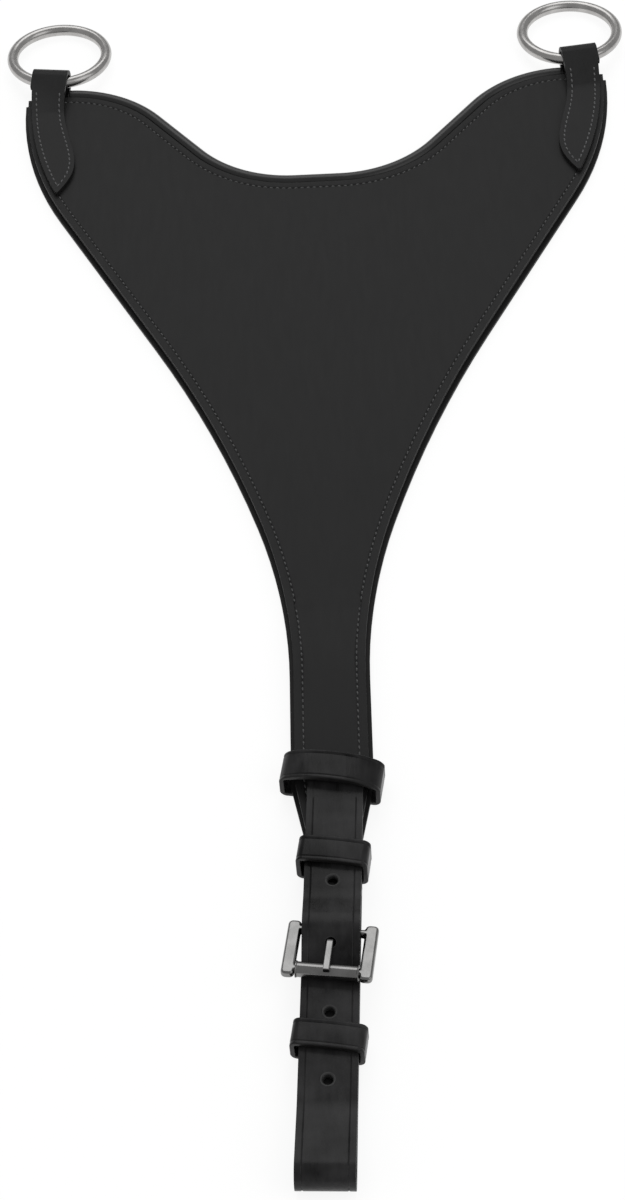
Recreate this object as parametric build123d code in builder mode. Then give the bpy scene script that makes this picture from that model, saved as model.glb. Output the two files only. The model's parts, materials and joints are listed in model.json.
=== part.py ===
from build123d import *

# Bib martingale: a leather bib with two rein rings and a buckled girth loop.
#
# Millimetres, +Z up. The martingale lies on its back. X runs across the bib, Y from the girth loop
# towards the rings, and the origin is on the flat back of the bib, on its centre line.

import os
from math import acos, asin, atan2, cos, hypot, radians, sin

os.makedirs("parts", exist_ok=True)

# ---------------------------------------------------------------- leather and general clearances
lining_thickness = 1.5
core_thickness = 1.5
panel_thickness = 2.0
strap_thickness = 3.0
strap_width = 20.0
tab_thickness = 2.0
chape_thickness = 1.4
keeper_thickness = 1.8
laid_gap = 0.05  # between leathers that are sewn flat on each other
slide_gap = 0.3  # between a keeper, roller or strap and what it slides on
rest_gap = 0.1  # keepers clear the ground by this much
running_gap = 0.08  # radial clearance of a bar in its bore
cut_reach = 50.0  # cutting shapes reach this far past what they cut
cut_depth = 20.0

# ---------------------------------------------------------------- bib outline, right half
neck_half_width = 15.0
neck_end_inset = 1.0  # the neck ends this much narrower than the strap, on each side
neck_end_y = -163.0
neck_taper = 29.0
neck_length = 48.0
throat_radius = 250.0
throat_angle = 17.7
waist_radius = 560.0
waist_angle = 11.0
side_straight = 90.4
shoulder_radius = 155.0

scoop_below_shoulder = 54.903565  # from the top of the sides down to the lowest point of the scoop
scoop_half_flat = 10.0
scoop_radius = 52.0
scoop_angle = 50.3
scoop_straight = 31.2
crest_radius = 56.0

panel_side_inset = 1.6  # the lining shows by this much beyond the front panel
core_side_inset = 3.2
roll_diameter = 5.6  # padded roll along the top edge
roll_leather_thickness = 1.2
roll_end_gap = 0.6  # from the end of the roll to the tab

# ---------------------------------------------------------------- how the neck rises onto the keepers
lift_run = 55.0
lift_end_from_neck_end = 73.0

# ---------------------------------------------------------------- ring tabs and rings
ring_inner_diameter = 38.0
ring_wire_diameter = 5.0
ring_near_offset = 0.85  # the wire sits this far off the middle of its fold
ring_fold_gap = 0.3
ring_rest_gap = 0.05
tab_width = 16.0
tab_from_side = 11.777756
tab_lean = 7.0
tab_fold_z = 7.0
tab_fold_reach = 2.8  # from the top of the bib to the middle of the fold
tab_side_inset = 3.6
tab_climb = 21.0  # length over which the tab climbs from the panel to its fold
tab_mouth = 7.8
tab_back_leg = 26.0
tab_front_leg = 80.0
tab_strip_margin = 2.0
tab_shape_top = -5.0
tab_tip_heading = (0.45, -0.9)
notch_side_gap = 1.0  # the padding stops short of the tab's back leg
notch_end_gap = 1.5
tab_inner_edge = [(-10.0, -23.3), (-15.0, -37.9), (-19.5, -54.3), (-15.0, -71.6)]

# ---------------------------------------------------------------- girth strap, buckle and keepers
strap_lean = 2.5  # the strap lies a little to one side of the bib's centre line
strap_length = 128.0  # from the end of the neck to the end of the loop
strap_tail = 62.0  # skived end let in between the layers of the neck
tail_step_gap = 0.8
tail_overlap = 1.0
tail_end_gap = 1.0
loop_bulge_height = 11.0
loop_bulge_length = 26.0
loop_bulge_step = 2.0
loop_sag = 0.1
billet_run_in = 2.6  # the billet starts to rise this far past the roller
billet_spare_height = 0.9
billet_settle = 13.0
billet_step_start = 9.0
billet_step_end = 19.0
billet_on_neck = 33.0  # length of the billet past the end of the neck
billet_tip_length = 14.0
billet_tip_overlap = 6.0
billet_tip_radius = 6.9
route_radii = [30, 4.5, 4.5, 25, 14, 12, 20, 30, 30]

buckle_side_gap = 1.0
buckle_side_bar = 4.7
buckle_corner_radius = 1.6
buckle_edge_radius = 0.9
buckle_bar_diameter = 3.0
buckle_bar_let_in = 1.0
buckle_overhang = 3.2
buckle_skew = 5.0
heel_from_loop_end = 94.0
heel_to_roller = 17.5
roller_diameter = 5.4
tongue_width = 2.2
tongue_thickness = 2.0
tongue_hole_diameter = 3.6
tongue_eye_wall = 1.1
tongue_root = 0.4
tongue_below_billet = 1.8
tongue_above_billet = 1.7
tongue_past_roller = 2.2
tongue_bend_radius = 1.2
tongue_slot_gap = 0.7
hole_pitch = 25.0
hole_count = 4
tongue_hole_from_heel = 6.0
chape_side_inset = 2.0  # the chape is narrower than the strap, on each side
chape_length = 20.0
chape_mouth = 1.0

keeper_width = 10.0
neck_keeper_width = 12.0
keeper_skew = 6.5
neck_keeper_skew = 10.0
keeper_corner_ease = 0.8
keeper_inner_corner = 0.4
lower_keeper_from_loop_end = 53.5
middle_keeper_from_neck_end = 4.0
upper_keeper_on_neck = 31.0

# ---------------------------------------------------------------- derived widths and lengths
neck_end_half_width = strap_width / 2 - neck_end_inset
neck_taper_y = neck_end_y + neck_taper
neck_top_y = neck_taper_y + neck_length
lift_end_y = neck_end_y + lift_end_from_neck_end
lift_start_y = lift_end_y + lift_run
roll_cord_diameter = roll_diameter - 2 * roll_leather_thickness
billet_end_from_loop_end = strap_length + billet_on_neck
buckle_inner_width = strap_width + 2 * buckle_side_gap
chape_width = strap_width - 2 * chape_side_inset

# ---------------------------------------------------------------- derived heights
lift = keeper_thickness + slide_gap + rest_gap
panel_low = lining_thickness + core_thickness
panel_top = panel_low + panel_thickness
strap_low = lift
strap_top = strap_low + strap_thickness
chape_top = strap_top + 2 * chape_thickness + laid_gap
heel_bore_radius = buckle_bar_diameter / 2 + running_gap
heel_z = strap_top + chape_thickness + heel_bore_radius
heel_fold_top = heel_z + heel_bore_radius + chape_thickness
loop_front_mid = strap_top + 2 * slide_gap + strap_thickness / 2
billet_mid = chape_top + slide_gap + strap_thickness / 2
billet_neck_mid = lift + panel_top + slide_gap + strap_thickness / 2
roller_z = loop_front_mid + strap_thickness / 2 + slide_gap + roller_diameter / 2

ring_mean_radius = (ring_inner_diameter + ring_wire_diameter) / 2
ring_centre_reach = ring_mean_radius - ring_near_offset
half_tab = tab_width / 2
inner_sagitta = ring_inner_diameter / 2 - (ring_inner_diameter**2 / 4 - half_tab**2) ** 0.5
tab_bore_radius = ring_wire_diameter / 2 + inner_sagitta - ring_near_offset + ring_fold_gap
tab_outer_radius = tab_bore_radius + tab_thickness


# ================================================================ outlines of the bib
def side_edge(inset):
    """Draw one side of the bib from the end of the neck to the top of the shoulder."""
    turn = throat_angle + waist_angle
    half = neck_half_width - inset
    neck = Line((half, neck_taper_y), (half, neck_top_y))
    throat = JernArc(neck @ 1, neck % 1, throat_radius + inset, -throat_angle)
    waist = JernArc(throat @ 1, throat % 1, waist_radius + inset, -waist_angle)
    flank = PolarLine(waist @ 1, side_straight, direction=waist % 1)
    return JernArc(flank @ 1, flank % 1, shoulder_radius - inset, turn)


with BuildLine() as outer_side:
    scoop_y = (side_edge(0) @ 1).Y - scoop_below_shoulder


def top_edge(inset):
    """Draw one half of the scooped top edge from the centre line outwards."""
    flat = Line((0, scoop_y - inset), (scoop_half_flat, scoop_y - inset))
    scoop = JernArc(flat @ 1, flat % 1, scoop_radius + inset, scoop_angle)
    climb = PolarLine(scoop @ 1, scoop_straight, direction=scoop % 1)
    return JernArc(climb @ 1, climb % 1, crest_radius - inset, -scoop_angle)


def bib_outline(side_inset, top_inset):
    """Return the plan of one bib layer, inset from the outline on its sides and its top."""
    end_half = neck_end_half_width - side_inset / 2
    with BuildSketch() as outline:
        with BuildLine():
            Line((0, neck_end_y), (end_half, neck_end_y))
            Line((end_half, neck_end_y), (neck_half_width - side_inset, neck_taper_y))
            shoulder = side_edge(side_inset)
            crest = top_edge(top_inset)
            corner = ((shoulder @ 1).X, (crest @ 1).Y)
            Line(shoulder @ 1, corner)
            Line(corner, crest @ 1)
            mirror(about=Plane.YZ)
        make_face()
    return outline.sketch


def layer_line(z):
    """Draw a bib layer's height along Y: flat, with the neck raised onto the keepers."""
    middle = (lift_start_y + lift_end_y) / 2
    flat = Line((crest_y + cut_reach, z), (lift_start_y, z))
    control = [(lift_start_y, z), (middle, z), (middle, z + lift), (lift_end_y, z + lift)]
    Bezier(*control)
    neck = Line((lift_end_y, z + lift), (neck_end_y - cut_reach, z + lift))
    return flat @ 0, neck @ 1


def bib_layer(plan, z_low, z_high):
    """Return one leather layer of the bib, cut to its plan and bent with the neck."""
    with BuildPart() as layer:
        with BuildSketch(Plane.YZ):
            with BuildLine():
                low_start, low_end = layer_line(z_low)
                high_start, high_end = layer_line(z_high)
                Line(low_start, high_start)
                Line(low_end, high_end)
            make_face()
        extrude(amount=bib_half_width + cut_reach, both=True)
        with BuildSketch():
            add(plan)
        extrude(amount=2 * panel_top + lift, both=True, mode=Mode.INTERSECT)
    return layer.part


def loop_profile(bar_z, bore, leather, front_low, back_low, back_high, legs):
    """Draw a leather folded round a bar at (0, bar_z), its two legs running towards -x.

    legs holds the length over which the front leg climbs to the fold, the lengths of the front and
    back legs, and the length over which the back leg runs into the fold.
    """
    climb, front_leg, back_leg, mouth = legs
    outer = bore + leather
    front_high = front_low + leather
    top_out = tangent_point((-climb, front_high), bar_z, outer, 1)
    top_in = tangent_point((-climb, front_low), bar_z, bore, 1)
    low_out = tangent_point((-mouth, back_low), bar_z, outer, -1)
    low_in = tangent_point((-mouth, back_high), bar_z, bore, -1)
    with BuildSketch() as profile:
        with BuildLine():
            Polyline(top_out, (-climb, front_high), (-front_leg, front_high), (-front_leg, front_low),
                     (-climb, front_low), top_in)
            ThreePointArc(top_in, (bore, bar_z), low_in)
            Polyline(low_in, (-mouth, back_high), (-back_leg, back_high), (-back_leg, back_low),
                     (-mouth, back_low), low_out)
            ThreePointArc(low_out, (outer, bar_z), top_out)
        make_face()
    return profile.sketch


def tangent_point(point, bar_z, radius, side):
    """Return where a line from point touches the circle about (0, bar_z), above it or below it."""
    dx, dz = point[0], point[1] - bar_z
    touch = atan2(dz, dx) - side * acos(radius / hypot(dx, dz))
    return radius * cos(touch), bar_z + radius * sin(touch)


with BuildSketch() as lining_plan:
    add(bib_outline(0, roll_diameter + laid_gap))
crest_y = lining_plan.sketch.bounding_box().max.Y + roll_diameter + laid_gap
bib_half_width = lining_plan.sketch.bounding_box().max.X
tab_x = bib_half_width - tab_from_side

# ================================================================ places
strap_across = Vector(cos(radians(strap_lean)), -sin(radians(strap_lean)), 0)
strap_along = Vector(sin(radians(strap_lean)), cos(radians(strap_lean)), 0)
loop_end = Vector(0, neck_end_y, 0) - strap_along * strap_length
strap_plan = Plane(origin=loop_end, x_dir=strap_across, z_dir=(0, 0, 1))
strap_side = Plane(origin=loop_end, x_dir=strap_along, z_dir=strap_across)

tongue_hole_s = heel_from_loop_end - tongue_hole_from_heel
heel_shift = tongue_hole_from_heel * sin(radians(buckle_skew))
heel_plan = strap_plan.from_local_coords(Vector(heel_shift, heel_from_loop_end, 0))
buckle_turn = radians(strap_lean + buckle_skew)
buckle_across = Vector(cos(buckle_turn), -sin(buckle_turn), 0)
buckle_forward = Vector(-sin(buckle_turn), -cos(buckle_turn), 0)
buckle_side = Plane(origin=heel_plan, x_dir=buckle_forward, z_dir=-buckle_across)

frame_tilt = atan2(roller_z - heel_z, heel_to_roller)
frame_reach = hypot(roller_z - heel_z, heel_to_roller)
frame_y = buckle_forward * cos(frame_tilt) + Vector(0, 0, sin(frame_tilt))
frame_normal = (-buckle_across).cross(frame_y)
heel_centre = heel_plan + Vector(0, 0, heel_z)
frame_plan = Plane(origin=heel_centre, x_dir=-buckle_across, z_dir=frame_normal)
roller_centre = heel_centre + frame_y * frame_reach
heel_section = Plane(origin=heel_centre, x_dir=frame_y, z_dir=-buckle_across)
roller_section = Plane(origin=roller_centre, x_dir=frame_y, z_dir=-buckle_across)

tab_y = crest_y + tab_fold_reach
tab_across = Vector(cos(radians(tab_lean)), sin(radians(tab_lean)), 0)
tab_out = Vector(-sin(radians(tab_lean)), cos(radians(tab_lean)), 0)
tab_origin = Vector(tab_x, tab_y, 0)
tab_plan = Plane(origin=tab_origin, x_dir=tab_across, z_dir=(0, 0, 1))
tab_side = Plane(origin=tab_origin, x_dir=tab_out, z_dir=tab_across)

ring_far_reach = ring_centre_reach + ring_mean_radius
ring_drop = tab_fold_z - ring_wire_diameter / 2 - ring_rest_gap
ring_tilt = asin(ring_drop / ring_far_reach)
ring_out = tab_out * cos(ring_tilt) - Vector(0, 0, sin(ring_tilt))
ring_normal = tab_across.cross(ring_out)
ring_centre = tab_origin + Vector(0, 0, tab_fold_z) + ring_out * ring_centre_reach
ring_section = Plane(origin=ring_centre, x_dir=tab_across, z_dir=-ring_out)

# ================================================================ the layers of the bib
with BuildPart() as bib_lining:
    add(bib_layer(lining_plan.sketch, 0, lining_thickness))
bib_lining.part.label = "bib_lining"
export_step(bib_lining.part, "parts/bib_lining.step")

with BuildSketch() as core_plan:
    add(bib_outline(core_side_inset, roll_diameter + laid_gap))
    core_low_y = neck_end_y + strap_tail + tail_end_gap
    with Locations((0, core_low_y)):
        below = 2 * strap_tail + cut_reach
        Rectangle(4 * neck_half_width, below, align=(Align.CENTER, Align.MAX), mode=Mode.SUBTRACT)
    notch_low_y = tab_y - tab_back_leg - notch_end_gap
    notch_inner_x = tab_x - half_tab - notch_side_gap
    with Locations((notch_inner_x, notch_low_y), (-notch_inner_x - cut_reach, notch_low_y)):
        Rectangle(cut_reach, cut_reach, align=(Align.MIN, Align.MIN), mode=Mode.SUBTRACT)

with BuildPart() as bib_core:
    add(bib_layer(core_plan.sketch, lining_thickness + laid_gap, panel_low - laid_gap))
bib_core.part.label = "bib_core"
export_step(bib_core.part, "parts/bib_core.step")

with BuildPart() as bib_front_panel:
    add(bib_layer(bib_outline(panel_side_inset, roll_diameter + laid_gap), panel_low, panel_top))
bib_front_panel.part.label = "bib_front_panel"
export_step(bib_front_panel.part, "parts/bib_front_panel.step")

# ================================================================ the padded roll along the top edge
roll_radius = roll_diameter / 2
roll_z = roll_radius + rest_gap
roll_end_x = tab_x - half_tab - roll_end_gap


def top_roll(outer_radius, inner_radius):
    """Return a round roll along the scooped top edge, hollow where inner_radius is above zero."""
    with BuildPart() as roll:
        with BuildLine(Plane.XY.offset(roll_z)) as path:
            top_edge(roll_radius)
        with BuildSketch(Plane.YZ):
            with Locations((scoop_y - roll_radius, roll_z)):
                Circle(outer_radius)
                if inner_radius > 0:
                    Circle(inner_radius, mode=Mode.SUBTRACT)
        sweep(path=path.line)
        with Locations((roll_end_x + cut_reach / 2, crest_y, roll_z)):
            Box(cut_reach, cut_reach, cut_reach, mode=Mode.SUBTRACT)
        mirror(about=Plane.YZ)
    return roll.part


with BuildPart() as top_edge_roll:
    add(top_roll(roll_radius, roll_cord_diameter / 2))
top_edge_roll.part.label = "top_edge_roll"
export_step(top_edge_roll.part, "parts/top_edge_roll.step")

with BuildPart() as top_roll_cord:
    add(top_roll(roll_cord_diameter / 2 - laid_gap, 0))
top_roll_cord.part.label = "top_roll_cord"
export_step(top_roll_cord.part, "parts/top_roll_cord.step")

# ================================================================ ring tabs
with BuildSketch(tab_plan) as tab_shape:
    with BuildLine():
        inner_edge = Spline((-half_tab, tab_shape_top), *tab_inner_edge, tangents=[(0, -1), tab_tip_heading])
        outside = 3 * tab_width
        Polyline(inner_edge @ 1, (outside, tab_inner_edge[-1][1]), (outside, tab_shape_top), inner_edge @ 0)
    make_face()

with BuildSketch(tab_plan) as tab_strip:
    Rectangle(tab_width, 2 * (tab_outer_radius + tab_strip_margin))

with BuildSketch() as tab_outline:
    add(bib_outline(tab_side_inset, 0))
    add(tab_shape.sketch, mode=Mode.INTERSECT)
    add(tab_strip.sketch)

tab_legs = (tab_climb, tab_front_leg, tab_back_leg, tab_mouth)
tab_profile = loop_profile(tab_fold_z, tab_bore_radius, tab_thickness, panel_top + laid_gap,
                           lining_thickness + laid_gap, panel_low - laid_gap, tab_legs)

with BuildPart() as right_ring_tab:
    with BuildSketch(tab_side):
        add(tab_profile)
    extrude(amount=3 * tab_width, both=True)
    with BuildSketch():
        add(tab_outline.sketch)
    extrude(amount=3 * tab_width, both=True, mode=Mode.INTERSECT)
right_ring_tab.part.label = "right_ring_tab"
export_step(right_ring_tab.part, "parts/right_ring_tab.step")

with BuildPart() as left_ring_tab:
    mirror(right_ring_tab.part, about=Plane.YZ)
left_ring_tab.part.label = "left_ring_tab"
export_step(left_ring_tab.part, "parts/left_ring_tab.step")

# ================================================================ rein rings
with BuildPart() as right_ring:
    with BuildSketch(ring_section):
        with Locations((ring_mean_radius, 0)):
            Circle(ring_wire_diameter / 2)
    revolve(axis=Axis(ring_centre, ring_normal))
right_ring.part.label = "right_ring"
export_step(right_ring.part, "parts/right_ring.step")

with BuildPart() as left_ring:
    mirror(right_ring.part, about=Plane.YZ)
left_ring.part.label = "left_ring"
export_step(left_ring.part, "parts/left_ring.step")

# ================================================================ girth strap: tail, loop and billet
half_strap = strap_thickness / 2
back_mid = strap_low + half_strap
bulge_low = half_strap - loop_sag
step_s = strap_length - tail_step_gap
billet_low_s = heel_from_loop_end - heel_to_roller + billet_run_in
billet_top = (heel_from_loop_end, heel_fold_top + slide_gap + half_strap + billet_spare_height)
billet_slope = atan2(billet_top[1] - loop_front_mid, heel_from_loop_end - billet_low_s)
route = [
    (step_s, back_mid),
    (loop_bulge_length, back_mid),
    (half_strap, bulge_low),
    (half_strap, bulge_low + loop_bulge_height),
    (loop_bulge_length + loop_bulge_step, loop_front_mid),
    (billet_low_s, loop_front_mid),
    billet_top,
    (heel_from_loop_end + billet_settle, billet_mid),
    (strap_length + billet_step_start, billet_mid),
    (strap_length + billet_step_end, billet_neck_mid),
    (billet_end_from_loop_end - billet_tip_length + billet_tip_overlap, billet_neck_mid),
]

with BuildPart() as girth_strap:
    with BuildSketch(strap_side):
        with BuildLine():
            FilletPolyline(*route, radius=route_radii)
        trace(line_width=strap_thickness)
        tail_low = lift + lining_thickness + laid_gap
        tail_high = lift + panel_low - laid_gap
        with Locations((step_s - tail_overlap, tail_low)):
            tail_length = strap_tail + tail_step_gap + tail_overlap
            Rectangle(tail_length, tail_high - tail_low, align=(Align.MIN, Align.MIN))
    extrude(amount=strap_width / 2, both=True)
    with BuildSketch(strap_plan.offset(billet_neck_mid - half_strap)):
        with Locations((0, billet_end_from_loop_end - billet_tip_length / 2)):
            RectangleRounded(strap_width, billet_tip_length, billet_tip_radius)
    extrude(amount=strap_thickness)
    spare_holes = [tongue_hole_s + hole_pitch * step for step in range(2 - hole_count, 2) if step]
    with BuildSketch(strap_plan.offset(strap_top + slide_gap)):
        with Locations(*[(0, s) for s in spare_holes]):
            Circle(tongue_hole_diameter / 2)
    extrude(amount=cut_depth, mode=Mode.SUBTRACT)
    hole_rise = loop_front_mid + (tongue_hole_s - billet_low_s) * sin(billet_slope) / cos(billet_slope)
    hole_middle = strap_side.from_local_coords(Vector(tongue_hole_s, hole_rise, 0))
    hole_axis = Vector(0, 0, cos(billet_slope)) - strap_along * sin(billet_slope)
    with BuildSketch(Plane(origin=hole_middle, x_dir=strap_across, z_dir=hole_axis)):
        Circle(tongue_hole_diameter / 2)
    extrude(amount=strap_thickness, both=True, mode=Mode.SUBTRACT)
girth_strap.part.label = "girth_strap"
export_step(girth_strap.part, "parts/girth_strap.step")

# ================================================================ buckle
chape_legs = (chape_length / 2, chape_length, chape_length, chape_mouth)
chape_middle = strap_top + chape_thickness
chape_profile = loop_profile(heel_z, heel_bore_radius, chape_thickness, chape_middle + laid_gap,
                             strap_top, chape_middle, chape_legs)

with BuildPart() as buckle_chape:
    with BuildSketch(buckle_side):
        add(chape_profile)
    extrude(amount=chape_width / 2, both=True)
    with BuildSketch(buckle_side):
        with Locations((0, heel_z)):
            Rectangle(2 * (heel_bore_radius + chape_thickness) + chape_mouth, cut_depth)
    extrude(amount=tongue_width / 2 + tongue_slot_gap, both=True, mode=Mode.SUBTRACT)
buckle_chape.part.label = "buckle_chape"
export_step(buckle_chape.part, "parts/buckle_chape.step")

bar_centre = (buckle_inner_width + buckle_side_bar) / 2
bar_length = frame_reach + 2 * buckle_overhang
with BuildPart() as buckle_frame:
    with BuildSketch(frame_plan):
        with Locations((bar_centre, frame_reach / 2), (-bar_centre, frame_reach / 2)):
            RectangleRounded(buckle_side_bar, bar_length, buckle_corner_radius)
    extrude(amount=buckle_bar_diameter / 2, both=True)
    fillet(buckle_frame.faces().filter_by(Axis(heel_centre, frame_normal)).edges(), buckle_edge_radius)
    with BuildSketch(heel_section, roller_section):
        Circle(buckle_bar_diameter / 2)
    extrude(amount=buckle_inner_width / 2 + buckle_bar_let_in, both=True)
buckle_frame.part.label = "buckle_frame"
export_step(buckle_frame.part, "parts/buckle_frame.step")

with BuildPart() as buckle_roller:
    with BuildSketch(roller_section):
        Circle(roller_diameter / 2)
        Circle(buckle_bar_diameter / 2 + running_gap, mode=Mode.SUBTRACT)
    extrude(amount=buckle_inner_width / 2 - slide_gap, both=True)
buckle_roller.part.label = "buckle_roller"
export_step(buckle_roller.part, "parts/buckle_roller.step")

eye_radius = heel_bore_radius + tongue_eye_wall
below = half_strap + tongue_below_billet
above = half_strap + tongue_above_billet
under = (tongue_hole_from_heel - below * sin(billet_slope), hole_rise - below * cos(billet_slope))
over = (tongue_hole_from_heel + above * sin(billet_slope), hole_rise + above * cos(billet_slope))
roller_top = roller_z + roller_diameter / 2
tip = (heel_to_roller + tongue_past_roller, roller_top + tongue_thickness / 2 + 2 * slide_gap)
with BuildPart() as buckle_tongue:
    with BuildSketch(buckle_side):
        with BuildLine():
            root = (heel_bore_radius + tongue_root, heel_z)
            FilletPolyline(root, under, over, tip, radius=tongue_bend_radius)
        trace(line_width=tongue_thickness)
        with Locations((0, heel_z)):
            Circle(eye_radius)
            Circle(heel_bore_radius, mode=Mode.SUBTRACT)
    extrude(amount=tongue_width / 2, both=True)
buckle_tongue.part.label = "buckle_tongue"
export_step(buckle_tongue.part, "parts/buckle_tongue.step")

# ================================================================ keepers
def keeper(middle, heading, turn, contents, width):
    """Return a leather keeper turned on what it goes round, whose width and top are in contents."""
    inner_width = (contents[0] + width * sin(radians(turn))) / cos(radians(turn)) + 2 * slide_gap
    low = lift - slide_gap
    high = contents[1] + slide_gap
    across = Vector(1, 0, 0).rotate(Axis.Z, -heading - turn)
    along = Vector(0, 1, 0).rotate(Axis.Z, -heading - turn)
    wall = 2 * keeper_thickness
    with BuildPart() as loop:
        with BuildSketch(Plane(origin=middle, x_dir=across, z_dir=-along)):
            with Locations((0, (low + high) / 2)):
                RectangleRounded(inner_width + wall, high - low + wall, keeper_thickness + keeper_corner_ease)
                RectangleRounded(inner_width, high - low, keeper_inner_corner, mode=Mode.SUBTRACT)
        extrude(amount=width / 2, both=True)
    return loop.part


lower_keeper_at = loop_end + strap_along * lower_keeper_from_loop_end
middle_keeper_at = loop_end + strap_along * (strap_length - middle_keeper_from_neck_end)
upper_keeper_at = Vector(0, neck_end_y + upper_keeper_on_neck, 0)
loop_contents = (strap_width, loop_front_mid + half_strap)
billet_contents = (strap_width, billet_mid + half_strap)
neck_contents = (2 * neck_half_width, billet_neck_mid + half_strap)

with BuildPart() as lower_keeper:
    add(keeper(lower_keeper_at, strap_lean, keeper_skew, loop_contents, keeper_width))
lower_keeper.part.label = "lower_keeper"
export_step(lower_keeper.part, "parts/lower_keeper.step")

with BuildPart() as middle_keeper:
    add(keeper(middle_keeper_at, strap_lean, keeper_skew, billet_contents, keeper_width))
middle_keeper.part.label = "middle_keeper"
export_step(middle_keeper.part, "parts/middle_keeper.step")

with BuildPart() as upper_keeper:
    add(keeper(upper_keeper_at, 0, neck_keeper_skew, neck_contents, neck_keeper_width))
upper_keeper.part.label = "upper_keeper"
export_step(upper_keeper.part, "parts/upper_keeper.step")
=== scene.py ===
"""Looks of a leather bib martingale: the leather, thread and steel that dress its frame.

The martingale lies on its back: X runs across the bib, Y from the girth loop towards the rein
rings, and Z points up out of its front. Lengths are in metres.
"""

import json
import logging
from collections.abc import Callable, Iterator, Sequence
from contextlib import contextmanager
from dataclasses import dataclass
from enum import Enum
from math import cos, radians, sin

import bmesh
import bpy
from bmesh.types import BMEdge, BMFace, BMVert
from mathutils import Matrix, Vector
from mathutils.geometry import intersect_point_line


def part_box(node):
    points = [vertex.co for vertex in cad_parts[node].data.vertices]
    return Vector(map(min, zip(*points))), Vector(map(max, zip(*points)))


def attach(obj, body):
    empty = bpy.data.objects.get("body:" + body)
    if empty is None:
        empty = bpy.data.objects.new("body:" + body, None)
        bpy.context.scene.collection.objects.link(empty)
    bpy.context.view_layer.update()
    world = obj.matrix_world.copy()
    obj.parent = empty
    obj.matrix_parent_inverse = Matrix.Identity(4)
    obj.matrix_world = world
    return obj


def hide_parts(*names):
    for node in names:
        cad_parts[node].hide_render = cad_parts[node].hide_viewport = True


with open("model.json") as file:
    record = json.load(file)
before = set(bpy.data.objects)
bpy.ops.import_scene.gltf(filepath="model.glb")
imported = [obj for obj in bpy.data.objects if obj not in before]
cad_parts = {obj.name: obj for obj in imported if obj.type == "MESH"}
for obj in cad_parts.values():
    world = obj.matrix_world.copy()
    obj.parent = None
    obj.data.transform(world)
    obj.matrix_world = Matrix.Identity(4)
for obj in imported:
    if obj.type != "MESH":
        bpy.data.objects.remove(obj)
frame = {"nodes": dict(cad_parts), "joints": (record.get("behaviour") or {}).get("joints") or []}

MM = 0.001
UP = Vector((0.0, 0.0, 1.0))
LOG = logging.getLogger("martingale")
SHARP_TURN = 60.0  # degrees: a turn in a surface that counts as an edge
ALL_SMOOTH = 180.0  # degrees: no edge is left sharp
LEVEL = 0.97  # a normal's share of up, above which its face is level
STEEP = 0.5  # and below which it is a side wall
SQUARE = 0.01  # a dot product of directions, below which they are square to each other
NEAR = 0.1 * MM  # how far from an end or a side still counts as at it
SAME_PLACE = 0.002 * MM
SAME_PLANE = 0.4  # degrees
ON_LINE = 0.01 * MM
INSIDE_SHARE = 0.97  # of an inset, that a line inside a rim must keep to the whole rim
Triple = tuple[float, float, float]
Colour = Triple
Line = list[Vector]


class Kind(Enum):
    """What edit mode selects."""

    VERTS = "VERT"
    EDGES = "EDGE"
    FACES = "FACE"


class Side(Enum):
    """The two sides of a flat-laid leather."""

    FRONT = 1
    BACK = -1


def joint(name: str) -> dict:
    """Return the frame's joint of that name."""
    return next(found for found in frame["joints"] if found["name"] == name)


# ------------------------------------------------------------------------------- places
@dataclass(frozen=True)
class Place:
    """A local set of axes: across to the right, along away from the girth loop, and up."""

    origin: Vector
    across: Vector
    up: Vector = UP

    @property
    def along(self) -> Vector:
        """The direction square to across and up."""
        return self.up.cross(self.across)

    def matrix(self) -> Matrix:
        """Return the matrix that takes local coordinates to the frame's."""
        turn = Matrix((self.across, self.along, self.up)).transposed().to_4x4()
        return Matrix.Translation(self.origin) @ turn

    def point(self, across: float, along: float, up: float = 0.0) -> Vector:
        """Return the frame's point at these local coordinates."""
        return self.origin + across * self.across + along * self.along + up * self.up

    def local(self, point: Vector) -> Vector:
        """Return a frame point's local coordinates."""
        gap = point - self.origin
        return Vector((gap.dot(self.across), gap.dot(self.along), gap.dot(self.up)))


def turned(degrees: float, origin: Vector) -> Place:
    """Return a level place at origin, turned clockwise by degrees as seen from above.

    Args:
        degrees: The turn from the bib's own axes.
        origin: Where the place is.

    Returns:
        The place.
    """
    return Place(origin, Vector((cos(radians(degrees)), -sin(radians(degrees)), 0.0)))


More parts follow.
